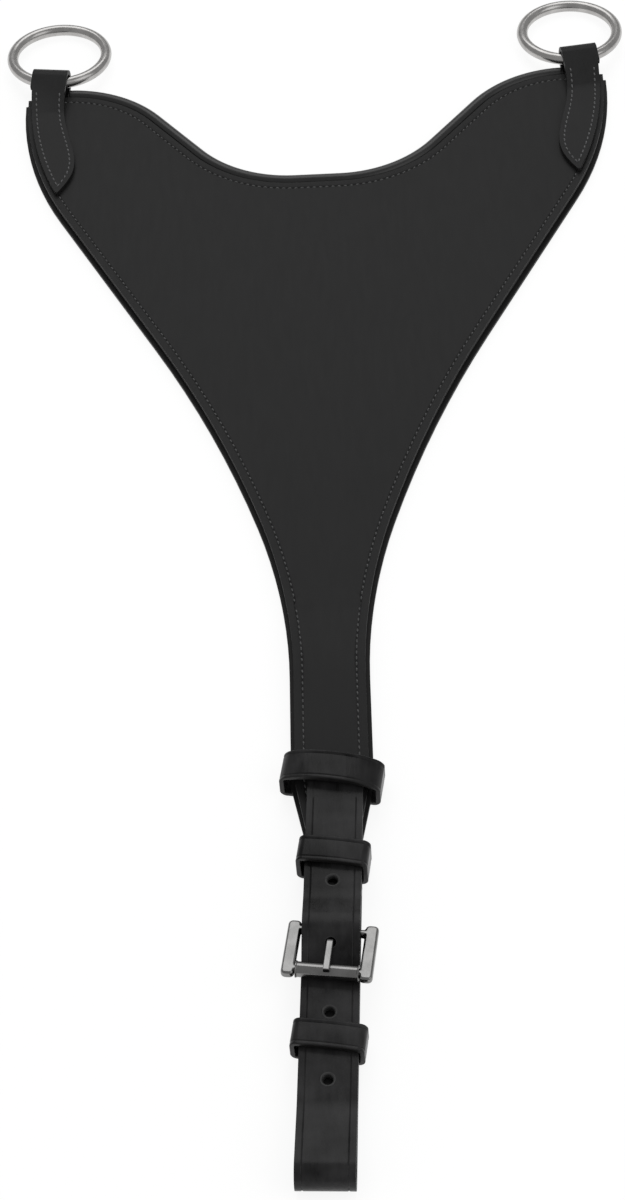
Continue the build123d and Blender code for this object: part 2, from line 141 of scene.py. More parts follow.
# ------------------------------------------------------------------------------- workbench
class Bench:
    """Holding, copying and shaping pieces with edit-mode tools."""

    @staticmethod
    def hold(*pieces: bpy.types.Object) -> None:
        """Select just these pieces.

        Args:
            pieces: The pieces, of which the first becomes the active one.
        """
        bpy.ops.object.select_all(action="DESELECT")
        for piece in pieces:
            piece.select_set(True)
        bpy.context.view_layer.objects.active = pieces[0]

    @staticmethod
    @contextmanager
    def editing(piece: bpy.types.Object) -> Iterator[None]:
        """Open a piece in edit mode with nothing selected, and close it again.

        Args:
            piece: The piece.
        """
        Bench.hold(piece)
        bpy.ops.object.mode_set(mode="EDIT")
        bpy.ops.mesh.select_mode(type="VERT")
        bpy.ops.mesh.select_all(action="DESELECT")
        yield
        bpy.ops.object.mode_set(mode="OBJECT")

    @staticmethod
    def pick(piece: bpy.types.Object, kind: Kind, wanted: Callable[..., bool]) -> int:
        """Select, in edit mode, just the elements that answer to wanted.

        Args:
            piece: The piece that is open in edit mode.
            kind: Which elements are looked at.
            wanted: Says of one element whether it is selected.

        Returns:
            How many elements were selected.
        """
        bpy.ops.mesh.select_mode(type=kind.value)
        bpy.ops.mesh.select_all(action="DESELECT")
        mesh = bmesh.from_edit_mesh(piece.data)
        mesh.normal_update()
        found = [element for element in getattr(mesh, kind.name.lower()) if wanted(element)]
        for element in found:
            element.select_set(True)
        mesh.select_flush_mode()
        bmesh.update_edit_mesh(piece.data)
        return len(found)

    @staticmethod
    def rims(piece: bpy.types.Object) -> list[Line]:
        """Trace the rims of the faces that are selected in edit mode.

        Args:
            piece: The piece that is open in edit mode.

        Returns:
            One closed line of points for each rim.
        """
        mesh = bmesh.from_edit_mesh(piece.data)
        beside: dict[BMVert, list[BMVert]] = {}
        for edge in mesh.edges:
            if sum(face.select for face in edge.link_faces) == 1:
                for one, other in (edge.verts, reversed(edge.verts)):
                    beside.setdefault(one, []).append(other)
        lines = []
        while beside:
            vert = next(iter(beside))
            line = []
            while vert in beside:
                line.append(vert.co.copy())
                vert = next((near for near in beside.pop(vert) if near in beside), None)
            lines.append(line)
        return lines

    @staticmethod
    def inside_line(rim: Line, inset: float) -> Line:
        """Return the line that runs inside a closed, nearly level rim, where there is room for it.

        Args:
            rim: The rim's points, in order.
            inset: How far inside the line runs.

        Returns:
            The line's points, in order.
        """
        ahead = rim[1:] + rim[:1]
        behind = rim[-1:] + rim[:-1]
        area = sum(one.x * other.y - other.x * one.y for one, other in zip(rim, ahead))
        inwards = UP if area > 0 else -UP
        line = []
        for before, point, after in zip(behind, rim, ahead):
            moved = point + inset * inwards.cross(after - before).normalized()
            near = (intersect_point_line(moved, one, other) for one, other in zip(rim, ahead))
            gaps = [
                (moved - one.lerp(other, min(1.0, max(0.0, share)))).length
                for (_, share), one, other in zip(near, rim, ahead)
            ]
            if min(gaps) > INSIDE_SHARE * inset:
                line.append(moved)
        return line

    @staticmethod
    def copy(node: str, name: str) -> bpy.types.Object:
        """Copy a frame node as a new piece, with its loose triangles joined up.

        Args:
            node: The node's name.
            name: The new piece's name.

        Returns:
            The new piece.
        """
        piece = bpy.data.objects.new(name, frame["nodes"][node].data.copy())
        piece.data.name = name
        piece.data.materials.clear()
        bpy.context.collection.objects.link(piece)
        Bench.hold(piece)
        bpy.ops.mesh.customdata_custom_splitnormals_clear()
        with Bench.editing(piece):
            bpy.ops.mesh.select_all(action="SELECT")
            bpy.ops.mesh.remove_doubles(threshold=SAME_PLACE)
            bpy.ops.mesh.dissolve_limited(angle_limit=radians(SAME_PLANE))
            bpy.ops.mesh.normals_make_consistent(inside=False)
        return piece

    @staticmethod
    def round_edges(piece: bpy.types.Object, width: float, segments: int = 3) -> None:
        """Round every sharp edge of a piece.

        Args:
            piece: The piece.
            width: How far the rounding reaches from an edge.
            segments: How many strips of faces it has.
        """
        with Bench.editing(piece):
            bpy.ops.mesh.select_mode(type="EDGE")
            bpy.ops.mesh.edges_select_sharp(sharpness=radians(SHARP_TURN))
            bpy.ops.mesh.bevel(offset=width, segments=segments, profile=0.5, clamp_overlap=True)

    @staticmethod
    def channel(
        piece: bpy.types.Object, wanted: Callable[[BMFace], bool],
        inset: float, width: float, depth: float,
    ) -> list[Line]:
        """Press a channel into a surface, parallel to the surface's rim.

        Args:
            piece: The piece.
            wanted: Says which faces are the surface.
            inset: From the rim to the middle of the channel.
            width: The channel's width.
            depth: The channel's depth.

        Returns:
            The lines along the bottom of the channel.
        """
        with Bench.editing(piece):
            Bench.pick(piece, Kind.FACES, wanted)
            bpy.ops.mesh.inset(thickness=inset - width / 2, depth=0.0, use_even_offset=False)
            bpy.ops.mesh.inset(thickness=width / 2, depth=-depth, use_even_offset=False)
            lines = Bench.rims(piece)
            bpy.ops.mesh.inset(thickness=width / 2, depth=depth, use_even_offset=False)
        return lines

    @staticmethod
    def crease(
        piece: bpy.types.Object, place: Place, offset: float, width: float, depth: float,
        wanted: Callable[[BMVert], bool],
    ) -> None:
        """Press a straight crease line into a piece, in the along direction of a place.

        Args:
            piece: The piece.
            place: The place whose across and along directions are used.
            offset: How far across the crease is.
            width: The crease's width.
            depth: The crease's depth.
            wanted: Says of a point on the line whether it is on the surface to crease.
        """
        with Bench.editing(piece):
            for shift in (-width / 2, 0.0, width / 2):
                cut = place.point(offset + shift, 0.0)
                bpy.ops.mesh.select_all(action="SELECT")
                bpy.ops.mesh.bisect(plane_co=cut, plane_no=place.across)

            def on_line(vert: BMVert) -> bool:
                """Say whether a point is on the crease and on the wanted surface."""
                return abs(place.local(vert.co).x - offset) < ON_LINE and wanted(vert)

            Bench.pick(piece, Kind.VERTS, on_line)
            bpy.ops.transform.shrink_fatten(value=-depth)

    @staticmethod
    def smooth(piece: bpy.types.Object, angle: float = 50.0) -> None:
        """Shade a piece smoothly: large faces stay flat, and narrow ones take the bend.

        Args:
            piece: The piece.
            angle: Edges that turn by more than these degrees stay sharp.
        """
        Bench.hold(piece)
        bpy.ops.object.shade_smooth_by_angle(angle=radians(angle))
        piece.modifiers.new("weighted", "WEIGHTED_NORMAL").keep_sharp = True
        bpy.ops.object.modifier_apply(modifier="weighted")

    @staticmethod
    def join(pieces: Sequence[bpy.types.Object], name: str) -> bpy.types.Object:
        """Join pieces into one.

        Args:
            pieces: The pieces. The first one takes in the others.
            name: The joined piece's name.

        Returns:
            The joined piece.
        """
        Bench.hold(*pieces)
        bpy.ops.object.join()
        pieces[0].name = name
        pieces[0].data.name = name
        return pieces[0]

    @staticmethod
    def settle(piece: bpy.types.Object) -> bpy.types.Object:
        """Put a new piece's place into its mesh."""
        Bench.hold(piece)
        bpy.ops.object.transform_apply(location=True, rotation=True, scale=True)
        return piece

    @staticmethod
    def dress(
        piece: bpy.types.Object, materials: Sequence[bpy.types.Material],
        choose: Callable[[bpy.types.MeshPolygon], int] = lambda face: 0,
    ) -> None:
        """Give a piece its materials.

        Args:
            piece: The piece.
            materials: The materials.
            choose: Returns the number of a face's material.
        """
        for material in materials:
            piece.data.materials.append(material)
        for face in piece.data.polygons:
            face.material_index = choose(face)

    @staticmethod
    def finish(piece: bpy.types.Object, body: str, slot: str, replaces: Sequence[str] = ()) -> None:
        """Enter a finished piece in the model, and report it.

        Args:
            piece: The piece.
            body: The body that it rides on.
            slot: Its material slot. It is not used.
            replaces: The frame nodes that it stands for.
        """
        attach(piece, body)
        if replaces:
            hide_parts(*replaces)
        LOG.info("%s: %d faces, rides on %s", piece.name, len(piece.data.polygons), body)


# ------------------------------------------------------------------------------- shader maths
@dataclass(frozen=True)
class Wire:
    """An output socket that takes part in expressions, where each operator adds a Math node."""

    kit: "NodeKit"
    socket: bpy.types.NodeSocket

    def __add__(self, other: "Wire | float") -> "Wire":
        """Add."""
        return self.kit.maths("ADD", self, other)

    def __sub__(self, other: "Wire | float") -> "Wire":
        """Subtract."""
        return self.kit.maths("SUBTRACT", self, other)

    def __rsub__(self, other: float) -> "Wire":
        """Subtract from a number."""
        return self.kit.maths("SUBTRACT", other, self)

    def __mul__(self, other: "Wire | float") -> "Wire":
        """Multiply."""
        return self.kit.maths("MULTIPLY", self, other)

    __radd__ = __add__
    __rmul__ = __mul__


class NodeKit:
    """Builds one material's nodes."""

    def __init__(self, name: str) -> None:
        """Start a material of that name with an empty tree."""
        self.material = bpy.data.materials.new(name)
        self.material.use_nodes = True
        self.tree = self.material.node_tree
        self.tree.nodes.clear()

    def node(
        self, kind: str, settings: dict | None = None, sockets: dict | None = None
    ) -> bpy.types.Node:
        """Add a node.

        Args:
            kind: The node's type.
            settings: Its settings, set first; "stops" are a ramp's positions and grey levels.
            sockets: Values or wires for its inputs, by name or number.

        Returns:
            The node.
        """
        made = self.tree.nodes.new(kind)
        for key, value in (settings or {}).items():
            if key == "stops":
                for element, (position, level) in zip(made.color_ramp.elements, value):
                    element.position = position
                    element.color = (level, level, level, 1.0)
            else:
                setattr(made, key, value)
        for key, value in (sockets or {}).items():
            if isinstance(value, Wire):
                self.tree.links.new(value.socket, made.inputs[key])
            else:
                made.inputs[key].default_value = value
        return made

    def wire(self, node: bpy.types.Node, output: str | int = 0) -> Wire:
        """Return one of a node's outputs as a wire."""
        return Wire(self, node.outputs[output])

    def maths(self, operation: str, one: Wire | float, other: Wire | float) -> Wire:
        """Add a Math node on two values."""
        return self.wire(self.node("ShaderNodeMath", {"operation": operation}, {0: one, 1: other}))

    def coordinates(self, turn: float = 0.0, stretch: Triple = (1.0, 1.0, 1.0)) -> Wire:
        """Return object coordinates, turned about Z by degrees and then stretched."""
        source = self.wire(self.node("ShaderNodeTexCoord"), "Object")
        sockets = {"Vector": source, "Rotation": (0.0, 0.0, radians(turn)), "Scale": stretch}
        return self.wire(self.node("ShaderNodeMapping", {"vector_type": "POINT"}, sockets))

    def noise(self, where: Wire, size: float, detail: float = 2.0, roughness: float = 0.5) -> Wire:
        """Return noise from 0 to 1 whose features are about size metres across."""
        sockets = {"Vector": where, "Scale": 1.0 / size, "Detail": detail, "Roughness": roughness}
        return self.wire(self.node("ShaderNodeTexNoise", None, sockets), "Fac")

    def ramp(self, value: Wire, low: tuple[float, float], high: tuple[float, float]) -> Wire:
        """Return value mapped by a straight ramp through two (position, level) stops."""
        made = self.node("ShaderNodeValToRGB", {"stops": (low, high)}, {0: value})
        return self.wire(made, "Color")

    def blend(self, factor: Wire | float, one: Colour | Wire, other: Colour | Wire) -> Wire:
        """Return a mix of two colours."""
        sides = [side if isinstance(side, Wire) else (*side, 1.0) for side in (one, other)]
        sockets = {0: factor, 6: sides[0], 7: sides[1]}
        return self.wire(self.node("ShaderNodeMix", {"data_type": "RGBA"}, sockets), 2)

    def bump(self, height: Wire, depth: float) -> Wire:
        """Return a normal bent by a height from 0 to 1 that is depth metres deep."""
        sockets = {"Height": height, "Distance": depth, "Strength": 1.0}
        return self.wire(self.node("ShaderNodeBump", None, sockets))

    def surface(self, sockets: dict) -> bpy.types.Material:
        """Close the tree with a Principled shader and return the material."""
        shader = self.wire(self.node("ShaderNodeBsdfPrincipled", None, sockets))
        self.node("ShaderNodeOutputMaterial", None, {"Surface": shader})
        return self.material


# ------------------------------------------------------------------------------- finishes
@dataclass(frozen=True)
class Leather:
    """Dyed and waxed bridle leather.

    How much lighter the light patches are is set for each leather: they are worn places, and in
    the strap finish, where they are set much lighter, a painted sheen as well. Ridges is how much
    the rubbed streaks stand out against the grain. Grain, patches and streaks are the sizes of the
    pores, of the changes of tone and of the rubbed streaks.
    """

    name: str
    colour: Colour
    roughness: float
    shine: float
    wear_and_sheen: float = 0.2
    ridges: float = 0.0
    grain: float = 0.55 * MM
    patches: float = 45 * MM
    streaks: float = 2.6 * MM
    depth: float = 0.02 * MM

    def make(self) -> bpy.types.Material:
        """Return the material: closed pores, slow changes of tone, and faint rubbed streaks."""
        kit = NodeKit(self.name)
        where = kit.coordinates()
        pores = kit.wire(
            kit.node(
                "ShaderNodeTexVoronoi",
                {"feature": "SMOOTH_F1"},
                {"Vector": where, "Scale": 1.0 / self.grain, "Smoothness": 0.6},
            ),
            "Distance",
        )
        clouds = kit.noise(where, self.patches, 3.0)
        rubs = kit.noise(kit.coordinates(4.0, (1.0, 0.16, 1.0)), self.streaks, 3.0, 0.6)
        fine = kit.noise(where, 0.22 * MM, 2.0)
        tone = kit.ramp(clouds * 0.7 + rubs * 0.3, (0.36, 0.0), (0.66, 1.0))
        dark = tuple(0.84 * part for part in self.colour)
        # The light end of the tone: worn places, and in the strap finish, where it is set high, a
        # painted sheen as well.
        light = tuple((1.0 + self.wear_and_sheen) * part for part in self.colour)
        return kit.surface(
            {
                "Base Color": kit.blend(tone, dark, light),
                "Roughness": self.roughness + (rubs - 0.5) * 0.16 + (clouds - 0.5) * 0.12,
                "Specular IOR Level": self.shine,
                "Normal": kit.bump(pores * 0.7 + fine * 0.3 + rubs * self.ridges, self.depth),
            }
        )


@dataclass(frozen=True)
class CutEdge:
    """The burnished cut edge of leather."""

    name: str
    colour: Colour

    def make(self) -> bpy.types.Material:
        """Return the material: fibres that run with the leather, sealed with edge dye."""
        kit = NodeKit(self.name)
        fibres = kit.noise(kit.coordinates(0.0, (1.0, 1.0, 7.0)), 1.4 * MM, 4.0, 0.65)
        dark = tuple(0.6 * part for part in self.colour)
        light = tuple(1.5 * part for part in self.colour)
        return kit.surface(
            {
                "Base Color": kit.blend(kit.ramp(fibres, (0.3, 0.0), (0.72, 1.0)), dark, light),
                "Roughness": 0.5 + (fibres - 0.5) * 0.25,
                "Specular IOR Level": 0.3,
                "Normal": kit.bump(fibres, 0.05 * MM),
            }
        )


@dataclass(frozen=True)
class WaxedThread:
    """Waxed sewing thread."""

    name: str
    colour: Colour

    def make(self) -> bpy.types.Material:
        """Return the material: twisted plies."""
        kit = NodeKit(self.name)
        plies = kit.wire(
            kit.node(
                "ShaderNodeTexWave",
                {"bands_direction": "DIAGONAL"},
                {"Vector": kit.coordinates(), "Scale": 1.0 / (2.2 * MM), "Distortion": 1.0},
            ),
            "Fac",
        )
        dark = tuple(0.55 * part for part in self.colour)
        return kit.surface(
            {
                "Base Color": kit.blend(plies, dark, self.colour),
                "Roughness": 0.62 - plies * 0.12,
                "Specular IOR Level": 0.35,
                "Normal": kit.bump(plies, 0.05 * MM),
            }
        )


@dataclass(frozen=True)
class Padding:
    """Needled felt that fills the leather."""

    name: str
    colour: Colour

    def make(self) -> bpy.types.Material:
        """Return the material: matted fibres."""
        kit = NodeKit(self.name)
        fibres = kit.noise(kit.coordinates(), 0.8 * MM, 5.0, 0.7)
        dark = tuple(0.6 * part for part in self.colour)
        return kit.surface(
            {
                "Base Color": kit.blend(fibres, dark, self.colour),
                "Roughness": 0.9 - fibres * 0.1,
                "Specular IOR Level": 0.15,
                "Normal": kit.bump(fibres, 0.15 * MM),
            }
        )


@dataclass(frozen=True)
class Steel:
    """Satin stainless steel."""

    name: str
    colour: Colour
    roughness: float
    turn: float = 0.0

    def make(self) -> bpy.types.Material:
        """Return the material: fine polishing lines, small dents and slow changes of sheen."""
        kit = NodeKit(self.name)
        lines = kit.noise(kit.coordinates(self.turn, (1.0, 0.06, 1.0)), 0.25 * MM, 3.0, 0.6)
        smears = kit.noise(kit.coordinates(), 5 * MM, 3.0)
        dark = tuple(0.72 * part for part in self.colour)
        tone = kit.ramp(smears * 0.6 + lines * 0.4, (0.34, 0.0), (0.62, 1.0))
        return kit.surface(
            {
                "Base Color": kit.blend(tone, dark, self.colour),
                "Metallic": 1.0,
                "Roughness": self.roughness + (smears - 0.5) * 0.12 + (lines - 0.5) * 0.1,
                "Normal": kit.bump(lines, 0.004 * MM),
            }
        )


@dataclass(frozen=True)
class Finishes:
    """Every material of the martingale."""

    front: bpy.types.Material
    lining: bpy.types.Material
    roll: bpy.types.Material
    tab: bpy.types.Material
    strap: bpy.types.Material
    edge: bpy.types.Material
    hole: bpy.types.Material
    thread: bpy.types.Material
    tab_thread: bpy.types.Material
    padding: bpy.types.Material
    ring: bpy.types.Material
    buckle: bpy.types.Material

    @classmethod
    def mix(cls) -> "Finishes":
        """Make all the materials."""
        return cls(
            front=Leather(
                "front_leather", (0.0162, 0.0162, 0.0164), roughness=0.46, shine=0.16
            ).make(),
            lining=Leather(
                "lining_leather", (0.018, 0.0178, 0.0178), roughness=0.55, shine=0.2
            ).make(),
            # The roll's leather is a little lighter than the front panel's: a painted highlight
            # along the roll.
            roll=Leather(
                "roll_leather", (0.019, 0.019, 0.0192), roughness=0.32, shine=0.45
            ).make(),
            tab=Leather(
                "tab_leather", (0.0125, 0.0125, 0.0127), roughness=0.44, shine=0.16, wear_and_sheen=0.8,
                ridges=3.0,
            ).make(),
            # The strap's light patches are set very light: worn places, and a painted sheen on the
            # billet.
            strap=Leather(
                "strap_leather", (0.0075, 0.0074, 0.0076), roughness=0.3, shine=0.17, wear_and_sheen=4.0,
                ridges=6.0, grain=0.6 * MM, patches=15 * MM,
            ).make(),
            edge=CutEdge("burnished_edge", (0.012, 0.0115, 0.0115)).make(),
            # Lighter colour for the rims round the strap's holes: a painted highlight.
            hole=CutEdge("worn_hole_rim", (0.05, 0.05, 0.05)).make(),
            thread=WaxedThread("black_thread", (0.14, 0.14, 0.142)).make(),
            tab_thread=WaxedThread("grey_thread", (0.2, 0.2, 0.204)).make(),
            padding=Padding("felt_padding", (0.03, 0.03, 0.03)).make(),
            ring=Steel("ring_steel", (0.52, 0.51, 0.5), roughness=0.24).make(),
            buckle=Steel(
                "buckle_steel", (0.27, 0.268, 0.265), roughness=0.16, turn=-8.0
            ).make(),
        )


# ------------------------------------------------------------------------------- sewing
@dataclass
class Seam:
    """A row of stitches along a line."""

    thread: bpy.types.Material
    pitch: float = 2.7 * MM
    length: float = 2.15 * MM
    thickness: float = 0.75 * MM
    slant: float = 7.0
    dive_from: float = 0.3  # share of the length past which an end goes down into its hole
    dive: float = 0.45  # share of the thickness that it goes down by

    def stitch(self) -> bpy.types.Object:
        """Model one stitch at the origin: a plump middle whose ends dive into their holes."""
        bpy.ops.mesh.primitive_uv_sphere_add(segments=6, ring_count=5, radius=0.5)
        one = bpy.context.object
        with Bench.editing(one):
            bpy.ops.mesh.select_all(action="SELECT")
            bpy.ops.transform.rotate(value=radians(90), orient_axis="Y", center_override=(0, 0, 0))
            bpy.ops.transform.resize(value=(self.length, self.thickness, self.thickness))
            reach = self.dive_from * self.length
            Bench.pick(one, Kind.VERTS, lambda vert: abs(vert.co.x) > reach)
            bpy.ops.transform.translate(value=(0.0, 0.0, -self.dive * self.thickness))
        Bench.smooth(one, ALL_SMOOTH)
        return one

    def steps(self, line: Line) -> Iterator[tuple[Vector, Vector]]:
        """Walk round a closed line at the stitch pitch.

        Args:
            line: The line's points.

        Yields:
            The middle of each stitch, and the direction there.
        """
        points = line + line[:1]
        length = sum((b - a).length for a, b in zip(points, points[1:]))
        count = max(1, round(length / self.pitch))
        step = length / count
        ahead = step / 2
        for start, end in zip(points, points[1:]):
            run = (end - start).length
            while ahead <= run and run > 0:
                yield start.lerp(end, ahead / run), (end - start).normalized()
                ahead += step
            ahead -= run

    def sew(
        self, lines: Sequence[Line], name: str, up: Vector = UP, raised: float = 0.0,
        wanted: Callable[[Vector], bool] = lambda place: True,
    ) -> bpy.types.Object:
        """Sew stitches along closed lines and join them into one piece.

        Args:
            lines: The lines.
            name: The piece's name.
            up: Which way the sewn surface faces.
            raised: How far above the lines the stitches' middles are.
            wanted: Says from its place whether a stitch is made.

        Returns:
            The sewn row.
        """
        one = self.stitch()
        made = []
        slant = Matrix.Rotation(radians(self.slant), 3, "Z")
        for line in lines:
            for place, direction in self.steps(line):
                if not wanted(place):
                    continue
                normal = (up - up.dot(direction) * direction).normalized()
                turn = Matrix((direction, normal.cross(direction), normal)).transposed() @ slant
                stitch = bpy.data.objects.new(name, one.data.copy())
                stitch.data.transform(Matrix.Translation(place + raised * normal) @ turn.to_4x4())
                bpy.context.collection.objects.link(stitch)
                made.append(stitch)
        bpy.data.objects.remove(one)
        row = Bench.join(made, name)
        row.data.materials.append(self.thread)
        return row


# ------------------------------------------------------------------------------- sub-assemblies
@dataclass
class Bib:
    """The bib: front panel, padding, lining and the padded roll along its scooped top edge."""

    finishes: Finishes
    edge_round: float = 0.7 * MM
    seam_inset: float = 3.3 * MM
    lining_overlap: float = 1.6 * MM
    channel_width: float = 1.5 * MM
    channel_depth: float = 0.42 * MM
    stitch_height: float = 0.12 * MM
    roll_reach: float = 1.0 * MM
    roll_end_round: float = 1.0 * MM

    def leather(
        self, node: str, side: Side, inset: float, material: bpy.types.Material, slot: str
    ) -> None:
        """Make one layer with rounded edges, and sew its seam along the rim of its outer side.

        Args:
            node: The frame node that the layer stands for.
            side: Which side shows.
            inset: From the layer's rim to its seam.
            material: The leather.
            slot: The leather's slot.
        """
        piece = Bench.copy(node, node + "_leather")
        half_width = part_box(node)[1].x

        def stub(edge: BMEdge) -> bool:
            """Say whether an edge is the short straight at the top of a side."""
            one, other = (vert.co for vert in edge.verts)
            at_side = min(abs(one.x), abs(other.x)) > half_width - NEAR
            return at_side and MM < abs(one.y - other.y) < inset

        def outer(face: BMFace) -> bool:
            """Say whether a face is on the side that shows."""
            return face.normal.z * side.value > LEVEL

        with Bench.editing(piece):
            stubs = Bench.pick(piece, Kind.EDGES, stub)
            bpy.ops.mesh.merge(type="COLLAPSE")
        LOG.info("%s: %d short edges joined", piece.name, stubs)
        lines = Bench.channel(piece, outer, inset, self.channel_width, self.channel_depth)
        Bench.round_edges(piece, self.edge_round)
        Bench.smooth(piece)
        materials = (material, self.finishes.edge)
        Bench.dress(piece, materials, lambda face: int(abs(face.normal.z) < STEEP))
        Bench.finish(piece, "bib", slot, (node,))
        seam = Seam(self.finishes.thread)
        row = seam.sew(lines, node + "_stitches", UP * side.value, self.stitch_height)
        Bench.finish(row, "bib", slot)

    def roll(self) -> None:
        """Make the padded roll: its cord, swollen to the roll's size and run up to the tabs."""
        piece = Bench.copy("top_roll_cord", "top_edge_padded_roll")
        inner_low, inner_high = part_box("top_roll_cord")
        outer_low, outer_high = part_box("top_edge_roll")
        wall = (outer_high.z - outer_low.z - inner_high.z + inner_low.z) / 2
        with Bench.editing(piece):
            bpy.ops.mesh.select_all(action="SELECT")
            bpy.ops.transform.shrink_fatten(value=wall, use_even_offset=True)
            for hand in (-1, 1):
                inner_end = hand * (inner_high.x - NEAR)
                Bench.pick(piece, Kind.VERTS, lambda vert: (vert.co.x - inner_end) * hand > 0)
                bpy.ops.transform.translate(value=(hand * 2 * self.roll_reach, 0.0, 0.0))
                end = Vector((hand * (outer_high.x + self.roll_reach), 0.0, 0.0))
                bpy.ops.mesh.select_all(action="SELECT")
                bpy.ops.mesh.bisect(
                    plane_co=end, plane_no=(hand, 0, 0), clear_outer=True, use_fill=True
                )
        Bench.round_edges(piece, self.roll_end_round)
        Bench.smooth(piece)
        Bench.dress(piece, (self.finishes.roll,))
        Bench.finish(piece, "bib", "front_leather", ("top_edge_roll", "top_roll_cord"))

    def build(self) -> None:
        """Build every layer."""
        front, lining = self.finishes.front, self.finishes.lining
        self.leather("bib_front_panel", Side.FRONT, self.seam_inset, front, "front_leather")
        back_inset = self.seam_inset + self.lining_overlap
        self.leather("bib_lining", Side.BACK, back_inset, lining, "lining_leather")
        self.roll()
        frame["nodes"]["bib_core"].material_slots[0].material = self.finishes.padding


@dataclass
class RingTab:
    """A tab that is folded round a rein ring and sewn to the bib."""

    finishes: Finishes
    side: str
    edge_round: float = 0.55 * MM
    seam_inset: float = 2.2 * MM
    clear_of_fold: float = 9 * MM
    front_low: float = 4.9 * MM
    front_slope: float = 0.8  # the front leg climbs, so its normals share only this much of up
    wall_slope: float = 0.3
    stitch_pitch: float = 2.9 * MM
    stitch_length: float = 2.3 * MM
    stitch_height: float = 0.1 * MM

    def build(self) -> None:
        """Build the tab and the two seams that meet at its tip."""
        fold = joint(f"{self.side}_ring_swing")
        place = Place(Vector(fold["pos_m"]), Vector(fold["axis"]))
        node = f"{self.side}_ring_tab"
        piece = Bench.copy(node, node + "_leather")

        def front(face: BMFace) -> bool:
            """Say whether a face is on the front leg's upper side."""
            high = face.calc_center_median().z > self.front_low
            return high and face.normal.z > self.front_slope

        def wall(face: bpy.types.MeshPolygon) -> int:
            """Return 1 for a cut side wall of the legs, and 0 for the rest."""
            steep = abs(face.normal.z) < self.wall_slope
            return int(steep and place.local(face.center).y < 0)

        with Bench.editing(piece):
            Bench.pick(piece, Kind.FACES, front)
            rims = Bench.rims(piece)
        Bench.round_edges(piece, self.edge_round)
        Bench.smooth(piece)
        Bench.dress(piece, (self.finishes.tab, self.finishes.edge), wall)
        Bench.finish(piece, "bib", "strap_leather", (node,))

        def sewn(point: Vector) -> bool:
            """Say whether a stitch is part of the two seams, and not across the fold."""
            return place.local(point).y < -self.clear_of_fold

        lines = [Bench.inside_line(rim, self.seam_inset) for rim in rims]
        seam = Seam(self.finishes.tab_thread, self.stitch_pitch, self.stitch_length)
        row = seam.sew(lines, node + "_stitches", UP, self.stitch_height, sewn)
        Bench.finish(row, "bib", "strap_leather")


@dataclass
class GirthStrap:
    """The girth strap and the chape that holds its buckle."""

    finishes: Finishes
    edge_round: float = 0.6 * MM
    crease_inset: float = 2.4 * MM
    crease_width: float = 0.8 * MM
    crease_depth: float = 0.28 * MM
    strap_width: float = 20 * MM
    fold_height: float = 5.5 * MM
    hole_radius: float = 1.8 * MM
    hole_flare: float = 0.8 * MM
    slope_hole_flare: float = 0.25 * MM
    hole_reach: float = 1.1  # of the hole's radius, for its rim
    flare_reach: float = 1.6  # of the hole's radius, for its flare
    billet_height: float = 1.5 * MM  # least height of the billet's holes above the fold's middle
    level_share: float = 0.98  # of up, in the normals of the level billet
    side_slope: float = 0.6
    chape_round: float = 0.35 * MM

    def place(self) -> Place:
        """Return the place whose along direction is the strap's, on its centre line."""
        along = Vector(joint("lower_keeper_slide")["axis"])
        low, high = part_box("lower_keeper")
        return Place((low + high) / 2, along.cross(UP).normalized())

    def build(self) -> None:
        """Build the strap with its creases, and the chape."""
        place = self.place()
        piece = Bench.copy("girth_strap", "girth_strap_leather")

        def hole_rim(edge: BMEdge, level: bool) -> bool:
            """Say whether an edge is on a hole's outer rim, in the level or the sloping billet."""
            reach = max(abs(place.local(vert.co).x) for vert in edge.verts)
            height = min(vert.co.z for vert in edge.verts)
            lowest = self.fold_height + self.billet_height
            if reach > self.hole_reach * self.hole_radius or height < lowest:
                return False
            flat = max(abs(face.normal.z) for face in edge.link_faces) > self.level_share
            return edge.calc_face_angle(0.0) > radians(SHARP_TURN) and flat == level

        for level, flare in ((True, self.hole_flare), (False, self.slope_hole_flare)):
            with Bench.editing(piece):
                Bench.pick(piece, Kind.EDGES, lambda edge: hole_rim(edge, level))
                bpy.ops.mesh.bevel(offset=flare, segments=4, profile=0.5)
        Bench.round_edges(piece, self.edge_round)

        def grain_side(vert: BMVert) -> bool:
            """Say whether a point is on the strap's outer side."""
            return vert.normal.z * (vert.co.z - self.fold_height) > 0

        for hand in (-1, 1):
            offset = hand * (self.strap_width / 2 - self.crease_inset)
            Bench.crease(piece, place, offset, self.crease_width, self.crease_depth, grain_side)
        Bench.smooth(piece)

        def surface(face: bpy.types.MeshPolygon) -> int:
            """Return 2 for a hole's flare, 1 for a side wall, and 0 for the rest."""
            near_hole = self.flare_reach * self.hole_radius
            if face.area < MM * MM and abs(place.local(face.center).x) < near_hole:
                return 2
            return int(abs(face.normal.dot(place.across)) > self.side_slope)

        # The flares round the holes take the lighter rim colour: a painted highlight round each
        # hole.
        Bench.dress(piece, (self.finishes.strap, self.finishes.edge, self.finishes.hole), surface)
        Bench.finish(piece, "bib", "strap_leather", ("girth_strap",))

        chape = Bench.copy("buckle_chape", "buckle_chape_leather")
        Bench.round_edges(chape, self.chape_round, 2)
        Bench.smooth(chape)
        Bench.dress(chape, (self.finishes.strap,))
        Bench.finish(chape, "bib", "strap_leather", ("buckle_chape",))


